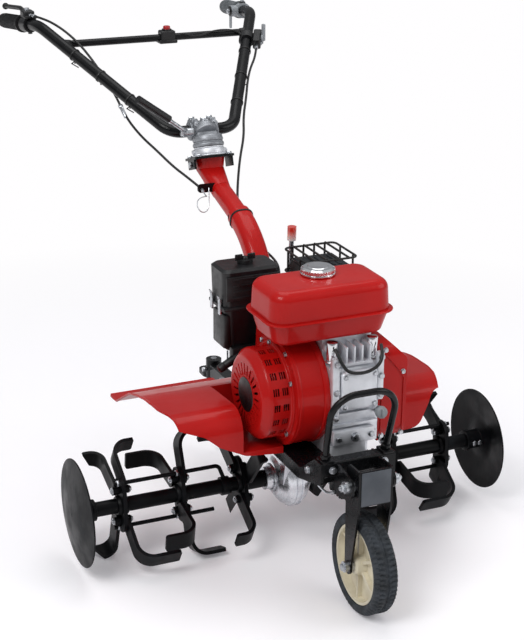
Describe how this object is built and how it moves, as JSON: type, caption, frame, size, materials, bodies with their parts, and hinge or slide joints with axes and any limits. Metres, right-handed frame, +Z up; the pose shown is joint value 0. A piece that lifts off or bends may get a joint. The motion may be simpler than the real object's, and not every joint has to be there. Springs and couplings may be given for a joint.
{
  "type": "front-tine petrol rotary tiller",
  "caption": "Walk-behind petrol tiller with a tine rotor under the engine, side discs, sheet fenders, a folding front travel wheel and a swivelling handlebar.",
  "frame": {"origin": "on the floor, below the middle of the machine's bounding box", "axes": "+Z up, +Y towards the handlebar's grips (the machine works towards -Y), +X to the side of the belt cover"},
  "size_m": [0.9, 1.4212, 0.9358],
  "materials": {
    "red_paint": "gloss enamel",
    "black_paint": "satin enamel",
    "bare_steel": "zinc plated, satin",
    "chrome_plate": "polished",
    "cast_aluminium": "as cast, satin",
    "black_plastic": "fine grain",
    "grey_plastic": "satin",
    "rim_plastic": "satin, cream",
    "tyre_rubber": "matt",
    "grip_rubber": "matt, ribbed",
    "cable_sheath": "satin",
    "knob_plastic": "gloss"
  },
  "bodies": {
    "machine": {"main_frame": "black_paint", "front_guard": "black_paint", "gear_case": "cast_aluminium", "fold_pin": "bare_steel", "engine_block": "cast_aluminium", "fan_cover": "red_paint", "recoil_cover": "red_paint", "fuel_tank": "red_paint", "fuel_cap": "chrome_plate", "air_cleaner": "black_plastic", "carburettor": "cast_aluminium", "muffler": "black_paint", "muffler_guard": "black_paint", "drive_cover": "red_paint", "fender_right": "red_paint", "fender_left": "red_paint", "handle_column": "red_paint", "column_sleeve": "red_paint", "column_plate": "bare_steel", "lower_head": "cast_aluminium", "shift_lever": "bare_steel", "shift_knob": "knob_plastic", "hitch_arm": "black_paint", "cable_bracket": "black_paint", "control_bracket": "bare_steel"},
    "rotor": {"rotor_shaft": "bare_steel", "tine_tube_left": "black_paint", "tie_rods_left": "black_paint", "inner_tines_left": "black_paint", "middle_tines_left": "black_paint", "outer_tines_left": "black_paint", "side_disc_left": "black_paint", "tine_tube_right": "black_paint", "tie_rods_right": "black_paint", "inner_tines_right": "black_paint", "middle_tines_right": "black_paint", "outer_tines_right": "black_paint", "side_disc_right": "black_paint"},
    "fork": {"wheel_fork": "black_paint", "wheel_pin": "bare_steel"},
    "front_wheel": {"wheel_rim": "rim_plastic", "wheel_tyre": "tyre_rubber"},
    "handle": {"upper_head": "cast_aluminium", "handlebar": "black_paint", "cross_tube": "black_paint", "grip_right": "grey_plastic", "grip_left": "grip_rubber", "lock_lever": "bare_steel", "lock_lever_grip": "black_plastic", "clutch_lever": "black_plastic", "throttle_lever": "grey_plastic", "throttle_box": "black_plastic", "stop_switch": "black_plastic", "clutch_cable": "cable_sheath", "throttle_cable": "cable_sheath"},
    "drag_bar": {"drag_bar": "bare_steel"}
  },
  "joints": [
    {"name": "tine_rotor_spin", "type": "hinge", "parent": "machine", "child": "rotor", "pos_m": [0, -0.2775, 0.124], "axis": [1, 0, 0], "continuous": true},
    {"name": "front_wheel_fold", "type": "hinge", "parent": "machine", "child": "fork", "pos_m": [0, -0.6255, 0.262], "axis": [1, 0, 0], "range_deg": [-90, 0]},
    {"name": "front_wheel_spin", "type": "hinge", "parent": "fork", "child": "front_wheel", "pos_m": [0, -0.6125, 0.095], "axis": [1, 0, 0], "continuous": true},
    {"name": "handlebar_swivel", "type": "hinge", "parent": "machine", "child": "handle", "pos_m": [0, 0.1315, 0.673], "axis": [0, 0.3007, 0.9537], "range_deg": [-45, 45], "deforming": ["clutch_cable", "throttle_cable"]},
    {"name": "drag_bar_slide", "type": "slide", "parent": "machine", "child": "drag_bar", "axis": [0, 0, 1], "range_m": [-0.04, 0.12]}
  ]
}
